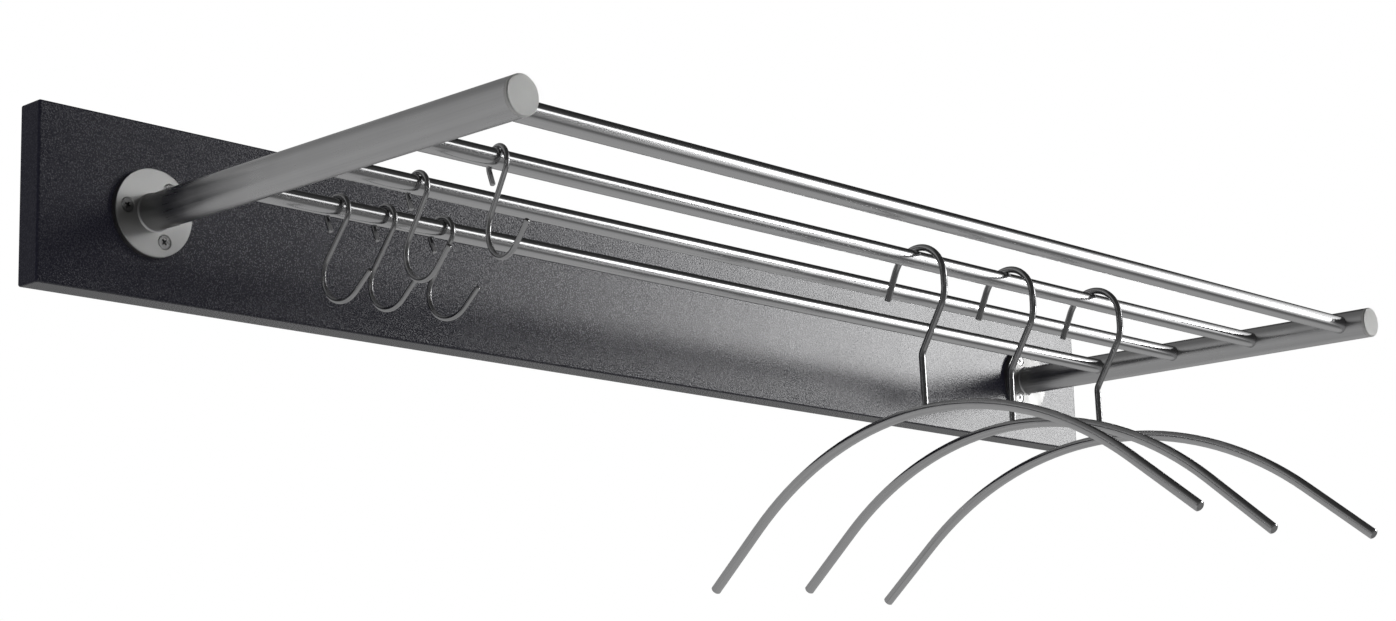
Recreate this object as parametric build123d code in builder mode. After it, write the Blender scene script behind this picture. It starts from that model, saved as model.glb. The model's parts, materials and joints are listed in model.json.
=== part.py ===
from build123d import *
from math import cos, radians, sin
import os

# Wall clothes rail, in millimetres. The origin is on the board's back, level with the arms.
# +X runs along the wall to the right, +Y into the wall, +Z up. The front faces -Y.

# Board
board_length = 1150
board_height = 120
board_thickness = 22
board_above_arms = 2
board_edge_radius = 1.6

# Wall screws, which the flanges cover: one countersunk hole behind the middle of each flange
wall_hole_diameter = 5.5
wall_hole_sink_diameter = 11

# Flanges: their middles are this far in from the board's ends
arm_inset = 85
flange_diameter = 60
flange_thickness = 4.5
flange_edge_radius = 0.6
screw_circle_diameter = 41
left_screw_angle = 54
right_screw_angle = -4
screws_per_flange = 3

# Flange screws
screw_diameter = 5
screw_head_diameter = 9
screw_head_rim = 0.25
screw_length = 20
screw_tip_length = 3
screw_sunk = 0.5
screw_gap = 0.06
recess_width = 4.6
recess_slot = 1.2
recess_depth = 1.9
recess_taper = 8
recess_turns = [18, 63, 40]

# Arms: tubes welded to the flanges, with a pressed cap at the front
arm_diameter = 25
arm_wall = 1.5
arm_beyond_rail = 24
weld_leg = 0.9
cap_thickness = 2.5
cap_edge_radius = 0.9
cap_seam = 0.12
cap_spigot_length = 8
cap_spigot_gap = 0.05

# Rails, counted from the front; the front one is thicker and stands a little further off
front_rail_diameter = 14.5
front_rail_pitch = 86
rail_diameter = 13
rail_wall = 1.25
rail_count = 4
rail_pitch = 80
wall_rail_distance = 92
rail_hole_gap = 0.1
rail_past_arm_axis = 5

# Every hook hangs on its rail's top with this much air
seat_gap = 0.08

# S-hooks: round wire, a tight upper loop for the rail and a wide lower one
s_wire_diameter = 3.5
s_loop_play = 2.4
s_back_turn = 112
s_back_tip = 9
s_front_turn = 127
s_leg = 30
s_low_radius = 19
s_low_turn = 169
s_low_tip = 18.3
# How far along its rail each S-hook hangs, from the left arm's axis
s_hook_1_along = 83.3
s_hook_2_along = 123
s_hook_3_along = 173.5
s_hook_4_along = 83.9
s_hook_5_along = 80.5
# rail number, distance along the rail, yaw, tilt
s_hook_places = [
    (4, s_hook_1_along, 3.3, 0.9),
    (4, s_hook_2_along, 2.2, 0.9),
    (4, s_hook_3_along, 6.2, -1.8),
    (3, s_hook_4_along, -3.8, -1.3),
    (2, s_hook_5_along, -10.9, -1.6),
]

# Hangers: a wire hook whose stem is welded into the top of a bent bar
hanger_wire_diameter = 5
hanger_loop_radius = 25
hanger_back_turn = 64
hanger_back_tip = 22
hanger_drop = 8
hanger_slant = 34
hanger_leg = 36
hanger_kink_radius = 10
hanger_stem = 39
bow_diameter = 8
bow_radius = 292
bow_half_angle = 38.6
bow_end = 67
# How far along its rail each hanger hangs, from the left arm's axis
hanger_1_along = 497.8
hanger_2_along = 609.5
hanger_3_along = 725.5
# rail number, distance along the rail, yaw, tilt
hanger_places = [
    (2, hanger_1_along, -4.6, -1.8),
    (2, hanger_2_along, -6.5, -0.1),
    (2, hanger_3_along, -2.6, -1.3),
]
wire_end_chamfer = 0.4
bow_end_chamfer = 0.8

arm_spacing = board_length - 2 * arm_inset

# Distances from the wall, along -Y
flange_front = board_thickness + flange_thickness
front_rail_distance = wall_rail_distance + rail_pitch * (rail_count - 2) + front_rail_pitch
cap_front = board_thickness + front_rail_distance + arm_beyond_rail
cap_back = cap_front - cap_thickness
arm_front = cap_back - cap_seam
rail_distances = [board_thickness + front_rail_distance]
for i in range(1, rail_count):
    rail_distances.append(board_thickness + wall_rail_distance + rail_pitch * (rail_count - 1 - i))
rail_diameters = [front_rail_diameter] + [rail_diameter] * (rail_count - 1)
rail_half = arm_spacing / 2 + rail_past_arm_axis

os.makedirs("parts", exist_ok=True)


def save(name, solid):
    solid.label = name
    export_step(solid, "parts/" + name + ".step")


def ring_points(side, first_angle):
    points = []
    for i in range(screws_per_flange):
        angle = radians(first_angle + 360 / screws_per_flange * i)
        x = side * arm_spacing / 2 + screw_circle_diameter / 2 * cos(angle)
        points.append((x, screw_circle_diameter / 2 * sin(angle)))
    return points


sides = [("left", -1, left_screw_angle), ("right", 1, right_screw_angle)]

# Board: one block with rounded edges, pilot holes for the flange screws and the two wall screw holes
with BuildPart() as wall_board:
    with BuildSketch(Plane.XZ):
        with Locations((0, board_above_arms)):
            Rectangle(board_length, board_height)
    extrude(amount=board_thickness)
    fillet(wall_board.edges(), radius=board_edge_radius)
    with Locations(Plane.XZ.offset(board_thickness)):
        for side_name, side, first_angle in sides:
            with Locations((side * arm_spacing / 2, 0)):
                CounterSinkHole(wall_hole_diameter / 2, wall_hole_sink_diameter / 2)
            pilot_depth = screw_length - flange_thickness + screw_sunk
            with Locations(*ring_points(side, first_angle)):
                Hole(screw_diameter / 2 + screw_gap, depth=pilot_depth)
save("wall_board", wall_board.part)

for side_name, side, first_angle in sides:
    arm_x = side * arm_spacing / 2

    # Flange: a round plate against the board, with countersunk holes on a circle
    with BuildPart() as flange:
        with BuildSketch(Plane.XZ.offset(board_thickness)):
            with Locations((arm_x, 0)):
                Circle(flange_diameter / 2)
        extrude(amount=flange_thickness)
        front_edge = flange.faces().sort_by(Axis.Y)[0].edges()
        fillet(front_edge, radius=flange_edge_radius)
        with Locations(Plane.XZ.offset(flange_front)):
            with Locations(*ring_points(side, first_angle)):
                sink_radius = screw_head_diameter / 2 + screw_sunk + screw_head_rim + screw_gap
                CounterSinkHole(screw_diameter / 2 + screw_gap, sink_radius)
    save(side_name + "_flange", flange.part)

    # Arm: a tube on the flange, with a hole for each rail in its inner side
    with BuildPart() as arm:
        with BuildSketch(Plane.XZ.offset(flange_front)):
            with Locations((arm_x, 0)):
                Circle(arm_diameter / 2)
                Circle(arm_diameter / 2 - arm_wall, mode=Mode.SUBTRACT)
        extrude(amount=arm_front - flange_front)
        with BuildSketch(Plane.YZ.offset(arm_x)):
            for distance, diameter in zip(rail_distances, rail_diameters):
                with Locations((-distance, 0)):
                    Circle(diameter / 2 + rail_hole_gap)
        extrude(amount=-side * arm_diameter, mode=Mode.SUBTRACT)
    save(side_name + "_arm", arm.part)

    # Weld: a small bead round the foot of the arm
    with BuildPart() as weld:
        with BuildSketch(Plane.XY):
            with BuildLine():
                Polyline(
                    (arm_x + arm_diameter / 2, -flange_front),
                    (arm_x + arm_diameter / 2 + weld_leg, -flange_front),
                    (arm_x + arm_diameter / 2, -flange_front - weld_leg),
                    close=True,
                )
            make_face()
        revolve(axis=Axis((arm_x, 0, 0), (0, 1, 0)))
    save(side_name + "_arm_weld", weld.part)

    # Cap: a disc as wide as the tube, with a spigot inside it
    with BuildPart() as cap:
        with BuildSketch(Plane.XZ.offset(cap_back)):
            with Locations((arm_x, 0)):
                Circle(arm_diameter / 2)
        extrude(amount=cap_thickness)
        front_edge = cap.faces().sort_by(Axis.Y)[0].edges()
        fillet(front_edge, radius=cap_edge_radius)
        with BuildSketch(Plane.XZ.offset(cap_back)):
            with Locations((arm_x, 0)):
                Circle(arm_diameter / 2 - arm_wall - cap_spigot_gap)
        extrude(amount=-cap_spigot_length)
    save(side_name + "_arm_cap", cap.part)

    # Flange screws: countersunk heads with a cross recess, pointed wood screw shanks
    for i, (x, z) in enumerate(ring_points(side, first_angle)):
        head = screw_head_diameter / 2
        shank = screw_diameter / 2
        face = -flange_front + screw_sunk
        with BuildPart() as screw:
            with BuildSketch(Plane((x, face, z), x_dir=(1, 0, 0), z_dir=(0, 0, 1))):
                with BuildLine():
                    Polyline(
                        (0, 0),
                        (head, 0),
                        (head, screw_head_rim),
                        (shank, screw_head_rim + head - shank),
                        (shank, screw_length - screw_tip_length),
                        (0, screw_length),
                        close=True,
                    )
                make_face()
            revolve(axis=Axis((x, face, z), (0, 1, 0)))
            with BuildSketch(Plane.XZ.offset(-face)):
                with Locations((x, z)):
                    Rectangle(recess_width, recess_slot, rotation=recess_turns[i])
                    Rectangle(recess_slot, recess_width, rotation=recess_turns[i])
                    Circle(recess_slot)
            extrude(amount=-recess_depth, taper=recess_taper, mode=Mode.SUBTRACT)
        save(side_name + "_flange_screw_" + str(i + 1), screw.part)

# Rails: tubes that enter both arms and end inside them
for i, (distance, diameter) in enumerate(zip(rail_distances, rail_diameters)):
    with BuildPart() as rail:
        with BuildSketch(Plane.YZ.offset(-rail_half)):
            with Locations((-distance, 0)):
                Circle(diameter / 2)
                Circle(diameter / 2 - rail_wall, mode=Mode.SUBTRACT)
        extrude(amount=2 * rail_half)
    save("rail_" + str(i + 1), rail.part)


# Plane of a hook that hangs on a rail: its origin is the centre of the loop, local x runs to
# the front and local y up. Yaw turns it about the vertical and tilt about the loop's centre.
def hook_plane(place, loop_radius, wire_diameter):
    rail_number, along, yaw, tilt = place
    x = along - arm_spacing / 2
    y = -rail_distances[rail_number - 1]
    z = rail_diameters[rail_number - 1] / 2 + seat_gap + wire_diameter / 2 - loop_radius
    turn = radians(yaw)
    swing = radians(tilt)
    forward = (sin(turn) * cos(swing), -cos(turn) * cos(swing), -sin(swing))
    return Plane((x, y, z), x_dir=forward, z_dir=(-cos(turn), -sin(turn), 0))


# Start of a bent wire whose loop is about the origin: back_turn is counted from the loop's top
def back_tip_start(loop_radius, back_turn, tip):
    angle = radians(back_turn)
    x = -loop_radius * sin(angle) - tip * cos(angle)
    y = loop_radius * cos(angle) - tip * sin(angle)
    return (x, y)


# Straights are plain lengths, bends are (radius, turn) with counter-clockwise turns positive
def add_bends(start, heading, steps):
    angle = radians(heading)
    edge = Line(start, (start[0] + steps[0] * cos(angle), start[1] + steps[0] * sin(angle)))
    for step in steps[1:]:
        if isinstance(step, tuple):
            edge = JernArc(start=edge @ 1, tangent=edge % 1, radius=step[0], arc_size=step[1])
        else:
            edge = Line(edge @ 1, edge @ 1 + (edge % 1) * step)


s_loop_radius = rail_diameter / 2 + s_wire_diameter / 2 + s_loop_play
s_steps = [
    s_back_tip,
    (s_loop_radius, -(s_back_turn + s_front_turn)),
    s_leg,
    (s_low_radius, s_low_turn),
    s_low_tip,
]
s_start = back_tip_start(s_loop_radius, s_back_turn, s_back_tip)

for i, place in enumerate(s_hook_places):
    with BuildPart() as s_hook:
        with BuildLine(hook_plane(place, s_loop_radius, s_wire_diameter)) as s_path:
            add_bends(s_start, s_back_turn, s_steps)
        with BuildSketch(Plane(s_path.line @ 0, z_dir=s_path.line % 0)):
            Circle(s_wire_diameter / 2)
        sweep(path=s_path.line)
        chamfer(s_hook.faces().filter_by(GeomType.PLANE).edges(), length=wire_end_chamfer)
    save("s_hook_" + str(i + 1), s_hook.part)

hanger_steps = [
    hanger_back_tip,
    (hanger_loop_radius, -(hanger_back_turn + 90)),
    hanger_drop,
    (hanger_loop_radius, -hanger_slant),
    hanger_leg,
    (hanger_kink_radius, hanger_slant),
    hanger_stem,
]
hanger_start = back_tip_start(hanger_loop_radius, hanger_back_turn, hanger_back_tip)

for i, place in enumerate(hanger_places):
    plane = hook_plane(place, hanger_loop_radius, hanger_wire_diameter)

    # Hook: one length of wire from the back tip over the rail to the stem's foot
    with BuildPart() as hanger_hook:
        with BuildLine(plane) as hook_path:
            add_bends(hanger_start, hanger_back_turn, hanger_steps)
        with BuildSketch(Plane(hook_path.line @ 0, z_dir=hook_path.line % 0)):
            Circle(hanger_wire_diameter / 2)
        sweep(path=hook_path.line)
        tip_face = hanger_hook.faces().filter_by(GeomType.PLANE).sort_by(Axis.Z)[-1]
        chamfer(tip_face.edges(), length=wire_end_chamfer)
    save("hanger_hook_" + str(i + 1), hanger_hook.part)

    # Bow: a round bar bent to a wide arc with straight ends, drilled to its middle for the stem
    foot = hook_path.line @ 1
    foot_x, foot_y, foot_z = tuple(plane.to_local_coords(foot))
    half = radians(bow_half_angle)
    bow_x = foot_x - bow_radius * sin(half) - bow_end * cos(half)
    bow_y = foot_y - bow_radius * (1 - cos(half)) - bow_end * sin(half)
    bow_steps = [bow_end, (bow_radius, -2 * bow_half_angle), bow_end]
    with BuildPart() as hanger_bow:
        with BuildLine(plane) as bow_path:
            add_bends((bow_x, bow_y), bow_half_angle, bow_steps)
        with BuildSketch(Plane(bow_path.line @ 0, z_dir=bow_path.line % 0)):
            Circle(bow_diameter / 2)
        sweep(path=bow_path.line)
        chamfer(hanger_bow.faces().filter_by(GeomType.PLANE).edges(), length=bow_end_chamfer)
        with BuildSketch(Plane(foot, z_dir=(hook_path.line % 1) * -1)):
            Circle(hanger_wire_diameter / 2)
        extrude(amount=bow_diameter, mode=Mode.SUBTRACT)
    save("hanger_bow_" + str(i + 1), hanger_bow.part)
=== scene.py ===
import json
import math
import bpy
import bmesh
from mathutils import Matrix, Vector

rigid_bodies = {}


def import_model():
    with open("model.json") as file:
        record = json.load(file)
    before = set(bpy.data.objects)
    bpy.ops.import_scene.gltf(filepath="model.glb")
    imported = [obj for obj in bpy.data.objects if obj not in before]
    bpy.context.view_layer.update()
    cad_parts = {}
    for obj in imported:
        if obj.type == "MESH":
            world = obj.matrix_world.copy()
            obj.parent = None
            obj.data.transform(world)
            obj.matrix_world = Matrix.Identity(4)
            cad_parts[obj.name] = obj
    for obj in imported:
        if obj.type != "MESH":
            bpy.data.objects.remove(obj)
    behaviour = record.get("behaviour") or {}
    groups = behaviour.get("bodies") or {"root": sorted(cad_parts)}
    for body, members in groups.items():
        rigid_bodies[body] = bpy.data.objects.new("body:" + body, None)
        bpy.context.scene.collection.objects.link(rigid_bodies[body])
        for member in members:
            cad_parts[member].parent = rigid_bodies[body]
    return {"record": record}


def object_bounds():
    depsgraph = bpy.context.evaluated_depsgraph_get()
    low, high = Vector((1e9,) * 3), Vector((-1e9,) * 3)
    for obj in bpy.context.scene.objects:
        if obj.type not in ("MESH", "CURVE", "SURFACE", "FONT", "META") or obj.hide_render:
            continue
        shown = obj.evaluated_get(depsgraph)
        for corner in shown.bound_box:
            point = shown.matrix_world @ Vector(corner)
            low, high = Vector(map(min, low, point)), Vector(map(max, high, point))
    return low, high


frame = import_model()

cadLow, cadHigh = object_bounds()
scene = bpy.context.scene
print("frame loaded")

# the camera stands low at the left and looks up along the rails
cameraValues = {
    "place": (-1.403009, -1.361942, -0.407744),
    "looks": (0.722244, 0.672481, 0.161657),
    "up": (-0.101164, -0.128502, 0.986536),
    "lens": 63.418,
    "sensor": 36.0,
    "shiftUp": 0.08,  # the photograph's middle lies above the lens axis
    "nearest": 0.05,
    "farthest": 100.0,
}


def makeCamera(values):
    data = bpy.data.cameras.new("camera")
    data.sensor_fit = "HORIZONTAL"
    data.sensor_width = values["sensor"]
    data.lens = values["lens"]
    data.shift_y = values["shiftUp"]
    data.clip_start = values["nearest"]
    data.clip_end = values["farthest"]
    looks = Vector(values["looks"]).normalized()
    up = Vector(values["up"])
    right = looks.cross(up).normalized()
    up = right.cross(looks)
    turn = Matrix((right, up, -looks)).transposed().to_4x4()
    item = bpy.data.objects.new("camera", data)
    item.matrix_world = Matrix.Translation(values["place"]) @ turn
    scene.collection.objects.link(item)
    scene.camera = item


makeCamera(cameraValues)
print("camera placed")

# plain white light from all round, which reflections don't show: they show the dome
scene.view_settings.view_transform = "Standard"
world = bpy.data.worlds.new("studio")
world.use_nodes = True
background = world.node_tree.nodes["Background"]
background.inputs["Color"].default_value = (1, 1, 1, 1)
background.inputs["Strength"].default_value = 1.0
scene.world = world


def newMaterial(name):
    material = bpy.data.materials.new(name)
    material.use_nodes = True
    tree = material.node_tree
    return material, tree, tree.nodes["Principled BSDF"]


def addNode(tree, kind, **values):
    node = tree.nodes.new(kind)
    for key, value in values.items():
        setattr(node, key, value)
    return node


def mathNode(tree, operation, *inputs):
    node = addNode(tree, "ShaderNodeMath", operation=operation)
    for index, value in enumerate(inputs):
        if isinstance(value, (int, float)):
            node.inputs[index].default_value = value
        else:
            tree.links.new(value, node.inputs[index])
    return node.outputs[0]


def smoothStep(tree, value, low, high, start=0.0, end=1.0):
    node = addNode(tree, "ShaderNodeMapRange", interpolation_type="SMOOTHSTEP")
    tree.links.new(value, node.inputs["Value"])
    node.inputs["From Min"].default_value = low
    node.inputs["From Max"].default_value = high
    node.inputs["To Min"].default_value = start
    node.inputs["To Max"].default_value = end
    return node.outputs["Result"]


def objectPlace(tree):
    return addNode(tree, "ShaderNodeTexCoord").outputs["Object"]


def splitPlace(tree, place):
    axes = addNode(tree, "ShaderNodeSeparateXYZ")
    tree.links.new(place, axes.inputs[0])
    return axes.outputs


def stageObject(name, mesh, material):
    item = bpy.data.objects.new(name, mesh)
    item.data.materials.append(material)
    scene.collection.objects.link(item)
    return item


# all angles in degrees: turn is 0 in front and 90 at the right, rise is 0 at the horizon
domeValues = {
    "radius": 30.0,
    "subdivisions": 5,
    # brightness at each rise: in front, at the right and behind
    "frontLevels": [
        (-90, 0.42), (-42, 0.42), (-34, 0.20), (-28, 0.14), (0, 0.10), (12, 0.06), (90, 0.04),
    ],
    "sideLevels": [
        (-90, 0.45), (-42, 0.45), (-28, 0.44), (-8, 0.34), (4, 0.10), (14, 0.025), (90, 0.03),
    ],
    "backLevels": [
        (-90, 0.38), (-46, 0.39), (-33, 0.44), (-12, 0.38), (9, 0.37), (28, 0.37),
        (38, 0.27), (46, 0.19), (90, 0.10),
    ],
    # turns over which one of them passes into the next
    "frontToSide": (68.0, 88.0),
    "sideToBack": (132.0, 146.0),
    "frontToBack": (-95.0, -110.0),
    # soft boxes: the turn of the middle, half the width, the rise of foot and top
    "boxes": [
        {
            "turn": 54.3, "half": 9.3, "edge": 5.0, "light": 1.3,
            "foot": -16.0, "footSoft": 11.0, "top": 28.5, "topSoft": 5.0,
        },
        {
            "turn": 80.0, "half": 16.0, "edge": 5.0, "light": 1.3,
            "foot": 17.0, "footSoft": 5.0, "top": 30.0, "topSoft": 5.0,
        },
        {
            "turn": 54.2, "half": 4.6, "edge": 4.0, "light": 15.0,
            "foot": 0.0, "footSoft": 8.0, "top": 19.0, "topSoft": 6.0,
        },
        {
            "turn": 42.5, "half": 8.0, "edge": 5.0, "light": 1.8,
            "foot": 17.5, "footSoft": 4.0, "top": 28.0, "topSoft": 4.0,
        },
    ],
}


def levelRamp(tree, rise, stops):
    levels = addNode(tree, "ShaderNodeValToRGB")
    ramp = levels.color_ramp
    lowest, highest = stops[0][0], stops[-1][0]
    while len(ramp.elements) < len(stops):
        ramp.elements.new(0.5)
    for element, (degrees, level) in zip(ramp.elements, stops):
        element.position = (degrees - lowest) / (highest - lowest)
        element.color = (level, level, level, 1)
    above = mathNode(tree, "SUBTRACT", rise, lowest)
    tree.links.new(mathNode(tree, "DIVIDE", above, highest - lowest), levels.inputs[0])
    return levels.outputs[0]


def softBox(tree, turn, rise, box):
    reach = mathNode(tree, "ABSOLUTE", mathNode(tree, "SUBTRACT", turn, box["turn"]))
    side = smoothStep(tree, reach, box["half"] + box["edge"], box["half"] - box["edge"])
    top = smoothStep(tree, rise, box["top"] + box["topSoft"], box["top"] - box["topSoft"])
    foot = smoothStep(tree, rise, box["foot"] - box["footSoft"], box["foot"] + box["footSoft"])
    shape = mathNode(tree, "MULTIPLY", mathNode(tree, "MULTIPLY", side, top), foot)
    return mathNode(tree, "MULTIPLY", shape, box["light"])


# what glossy surfaces reflect: a pale floor, a dim room above it and soft boxes at the right
def studioLight(values):
    material, tree, _ = newMaterial("studioLight")
    tree.nodes.clear()
    axes = splitPlace(tree, objectPlace(tree))
    height = mathNode(tree, "DIVIDE", axes["Z"], values["radius"])
    rise = mathNode(tree, "MULTIPLY", mathNode(tree, "ARCSINE", height), math.degrees(1))
    front = mathNode(tree, "MULTIPLY", axes["Y"], -1.0)
    around = mathNode(tree, "ARCTAN2", axes["X"], front)
    turn = mathNode(tree, "MULTIPLY", around, math.degrees(1))
    # the three shares add up to 1 at every turn
    behindRight = smoothStep(tree, turn, *values["sideToBack"])
    behindLeft = smoothStep(tree, turn, *values["frontToBack"])
    behind = mathNode(tree, "ADD", behindRight, behindLeft)
    pastFront = smoothStep(tree, turn, *values["frontToSide"])
    beside = mathNode(tree, "SUBTRACT", pastFront, behindRight)
    inFront = mathNode(tree, "SUBTRACT", mathNode(tree, "SUBTRACT", 1.0, behind), beside)
    shares = ((inFront, "frontLevels"), (beside, "sideLevels"), (behind, "backLevels"))
    total = 0.0
    for share, levels in shares:
        level = levelRamp(tree, rise, values[levels])
        total = mathNode(tree, "ADD", mathNode(tree, "MULTIPLY", level, share), total)
    for box in values["boxes"]:
        total = mathNode(tree, "ADD", total, softBox(tree, turn, rise, box))
    light = addNode(tree, "ShaderNodeEmission")
    tree.links.new(total, light.inputs["Strength"])
    output = addNode(tree, "ShaderNodeOutputMaterial")
    tree.links.new(light.outputs[0], output.inputs["Surface"])
    return material


def makeDome(values):
    material = studioLight(values)
    mesh = bpy.data.meshes.new("studioDome")
    work = bmesh.new()
    bmesh.ops.create_icosphere(work, subdivisions=values["subdivisions"], radius=values["radius"])
    bmesh.ops.reverse_faces(work, faces=work.faces)
    work.to_mesh(mesh)
    work.free()
    dome = stageObject("studioDome", mesh, material)
    # only reflections show it
    dome.visible_camera = False
    dome.visible_diffuse = False
    dome.visible_shadow = False
    dome.visible_transmission = False


# the floor lies well below the rail, which hangs on a wall
floorValues = {
    "height": -0.75,
    "half": 45.0,
    "segments": 2,
    "colour": (0.8, 0.8, 0.79),
    "roughness": 0.8,
    "gloss": 0.0,
}


def makeFloor(values):
    material, tree, shader = newMaterial("paleFloor")
    shader.inputs["Base Color"].default_value = (*values["colour"], 1)
    shader.inputs["Roughness"].default_value = values["roughness"]
    shader.inputs["Specular IOR Level"].default_value = values["gloss"]
    mesh = bpy.data.meshes.new("floor")
    work = bmesh.new()
    segments = values["segments"]
    bmesh.ops.create_grid(work, x_segments=segments, y_segments=segments, size=values["half"])
    bmesh.ops.translate(work, verts=work.verts, vec=(0, 0, values["height"]))
    work.to_mesh(mesh)
    work.free()
    floor = stageObject("floor", mesh, material)
    floor.visible_glossy = False  # reflections show the dome's pale lower part instead


makeDome(domeValues)
makeFloor(floorValues)
print("studio ready")

noiseMiddle = 0.5  # noise goes up and down about this value


def makeNoise(tree, place, scale, detail, roughness=0.5):
    noise = addNode(tree, "ShaderNodeTexNoise")
    noise.inputs["Scale"].default_value = scale
    noise.inputs["Detail"].default_value = detail
    noise.inputs["Roughness"].default_value = roughness
    tree.links.new(place, noise.inputs["Vector"])
    return noise.outputs["Fac"]


# a value about its middle, lower and higher by depth where the noise is low and high
def varied(tree, noise, spread, middle, depth):
    low, high = noiseMiddle - spread, noiseMiddle + spread
    return smoothStep(tree, noise, low, high, middle - depth, middle + depth)


def setColour(tree, shader, colour, factor):
    tint = addNode(tree, "ShaderNodeVectorMath", operation="SCALE")
    tint.inputs[0].default_value = colour
    tree.links.new(factor, tint.inputs["Scale"])
    tree.links.new(tint.outputs[0], shader.inputs["Base Color"])


def setBump(tree, shader, noise, strength, height):
    bump = addNode(tree, "ShaderNodeBump")
    bump.inputs["Strength"].default_value = strength
    bump.inputs["Distance"].default_value = height
    tree.links.new(noise, bump.inputs["Height"])
    tree.links.new(bump.outputs[0], shader.inputs["Normal"])


# the same for every steel
brushingValues = {
    "grainDetail": 5.0,
    "grainRoughness": 0.62,
    "grainSpread": 0.25,
    "cloudDetail": 3.0,
    "cloudSpread": 0.2,
    "bumpHeight": 0.0002,
}

# grain says how close the brushing marks are along x, y and z: a low number draws them out
steelValues = {
    "plate_steel": {
        "colour": (0.46, 0.46, 0.455),
        "roughness": 0.52,
        "grain": (160.0, 160.0, 160.0),
        "grainDepth": 0.03,
        "colourChange": 0.08,
        "cloud": 60.0,
        "cloudDepth": 0.04,
        "bump": 0.06,
        # the arms' caps, in front of this y, are lighter and rougher than the flanges
        "capsFrom": -0.30,
        "capsLighter": 0.95,
        "capsRougher": 0.30,
    },
    "tube_steel": {
        "colour": (0.62, 0.62, 0.625),
        "roughness": 0.34,
        "grain": (420.0, 4.0, 420.0),
        "grainDepth": 0.06,
        "colourChange": 0.20,
        "cloud": 22.0,
        "cloudDepth": 0.07,
        "bump": 0.06,
    },
    "rail_steel": {
        "colour": (0.58, 0.58, 0.585),
        "roughness": 0.17,
        "grain": (3.0, 500.0, 500.0),
        "grainDepth": 0.012,
        "colourChange": 0.06,
        "cloud": 16.0,
        "cloudDepth": 0.01,
        "bump": 0.005,
    },
    "screw_steel": {
        "colour": (0.27, 0.27, 0.27),
        "roughness": 0.30,
        "grain": (700.0, 700.0, 700.0),
        "grainDepth": 0.04,
        "colourChange": 0.10,
        "cloud": 120.0,
        "cloudDepth": 0.04,
        "bump": 0.06,
    },
    "wire_steel": {
        "colour": (0.44, 0.44, 0.445),
        "roughness": 0.19,
        "grain": (300.0, 120.0, 120.0),
        "grainDepth": 0.05,
        "colourChange": 0.12,
        "cloud": 40.0,
        "cloudDepth": 0.05,
        "bump": 0.06,
    },
    "bow_steel": {
        "colour": (0.60, 0.60, 0.605),
        "roughness": 0.20,
        "grain": (420.0, 40.0, 90.0),
        "grainDepth": 0.05,
        "colourChange": 0.12,
        "cloud": 26.0,
        "cloudDepth": 0.05,
        "bump": 0.06,
    },
}


def brushedSteel(name, values, brushing):
    material, tree, shader = newMaterial(name)
    shader.inputs["Metallic"].default_value = 1.0
    place = objectPlace(tree)
    stretch = addNode(tree, "ShaderNodeMapping")
    stretch.inputs["Scale"].default_value = values["grain"]
    tree.links.new(place, stretch.inputs["Vector"])
    stretched = stretch.outputs[0]
    grain = makeNoise(tree, stretched, 1.0, brushing["grainDetail"], brushing["grainRoughness"])
    cloud = makeNoise(tree, place, values["cloud"], brushing["cloudDetail"])
    # brighter and darker marks about the steel's own colour, the fine ones twice as strong
    marks = mathNode(tree, "SUBTRACT", grain, noiseMiddle)
    marks = mathNode(tree, "MULTIPLY", marks, values["colourChange"] * 2)
    clouds = mathNode(tree, "SUBTRACT", cloud, noiseMiddle)
    clouds = mathNode(tree, "MULTIPLY", clouds, values["colourChange"])
    factor = mathNode(tree, "ADD", mathNode(tree, "ADD", marks, clouds), 1.0)
    grainRough = varied(tree, grain, brushing["grainSpread"], values["roughness"], values["grainDepth"])
    cloudRough = varied(tree, cloud, brushing["cloudSpread"], 0.0, values["cloudDepth"])
    rough = mathNode(tree, "ADD", grainRough, cloudRough)
    if "capsFrom" in values:
        onCap = mathNode(tree, "LESS_THAN", splitPlace(tree, place)["Y"], values["capsFrom"])
        lighter = mathNode(tree, "MULTIPLY", onCap, values["capsLighter"])
        factor = mathNode(tree, "ADD", factor, lighter)
        rougher = mathNode(tree, "MULTIPLY", onCap, values["capsRougher"])
        rough = mathNode(tree, "ADD", rough, rougher)
    setColour(tree, shader, values["colour"], factor)
    tree.links.new(rough, shader.inputs["Roughness"])
    setBump(tree, shader, grain, values["bump"], brushing["bumpHeight"])
    return material


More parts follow.
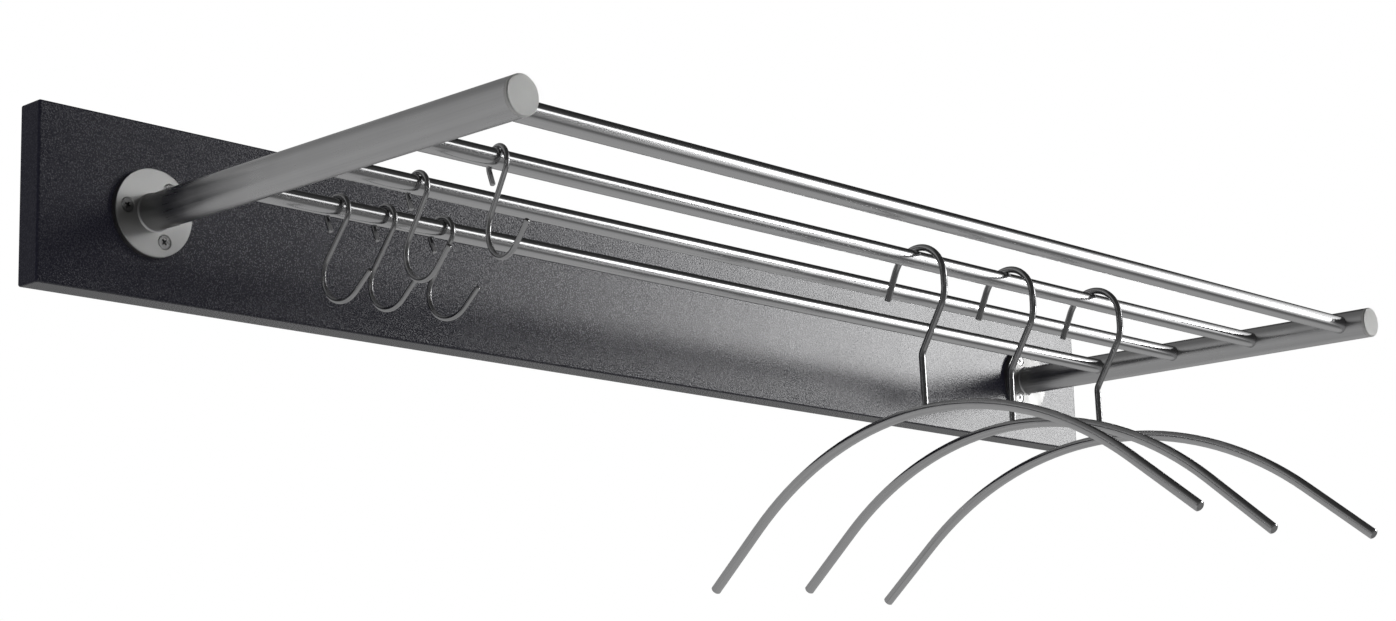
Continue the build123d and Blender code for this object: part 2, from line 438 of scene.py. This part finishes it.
# the board's lacquer: dark, satin, with a very fine even texture
lacquerValues = {
    "colour": (0.010, 0.010, 0.017),
    "colourChange": 0.15,
    "roughness": 0.245,
    "ior": 1.5,
    "texture": 900.0,
    "textureDetail": 1.0,
    "textureSpread": 0.2,
    "textureDepth": 0.05,
    "gloss": 0.5,
    "sparkle": 0.18,
    "sparkleSpread": 0.15,
    "cloud": 14.0,
    "cloudDetail": 3.0,
    "cloudSpread": 0.2,
    "cloudDepth": 0.008,
    "bump": 0.42,
    "bumpHeight": 0.0002,
    # the board's two end faces are less glossy than its front
    "endDepth": 0.0014,
    "endFade": 0.0012,
    "endGloss": 0.2,
}


def darkLacquer(name, values):
    material, tree, shader = newMaterial(name)
    shader.inputs["IOR"].default_value = values["ior"]
    place = objectPlace(tree)
    texture = makeNoise(tree, place, values["texture"], values["textureDetail"])
    cloud = makeNoise(tree, place, values["cloud"], values["cloudDetail"])
    spread = values["textureSpread"]
    factor = varied(tree, texture, spread, 1.0, values["colourChange"])
    setColour(tree, shader, values["colour"], factor)
    sparkle = varied(tree, texture, values["sparkleSpread"], values["gloss"], values["sparkle"])
    outwards = mathNode(tree, "ABSOLUTE", splitPlace(tree, place)["X"])
    endFrom = cadHigh[0] - values["endDepth"]
    ends = smoothStep(tree, outwards, endFrom, endFrom + values["endFade"], 1.0, values["endGloss"])
    gloss = mathNode(tree, "MULTIPLY", sparkle, ends)
    tree.links.new(gloss, shader.inputs["Specular IOR Level"])
    textureRough = varied(tree, texture, spread, values["roughness"], values["textureDepth"])
    cloudRough = varied(tree, cloud, values["cloudSpread"], 0.0, values["cloudDepth"])
    rough = mathNode(tree, "ADD", textureRough, cloudRough)
    tree.links.new(rough, shader.inputs["Roughness"])
    setBump(tree, shader, texture, values["bump"], values["bumpHeight"])
    return material


finishes = {}
for name, values in steelValues.items():
    finishes[name] = brushedSteel(name, values, brushingValues)
finishes["board_lacquer"] = darkLacquer("board_lacquer", lacquerValues)
for part in frame["record"]["subparts"]:
    item = bpy.data.objects[part["node"]]
    for slot in item.material_slots:
        slot.material = finishes[part["material_slot"]]
print("finishes set")
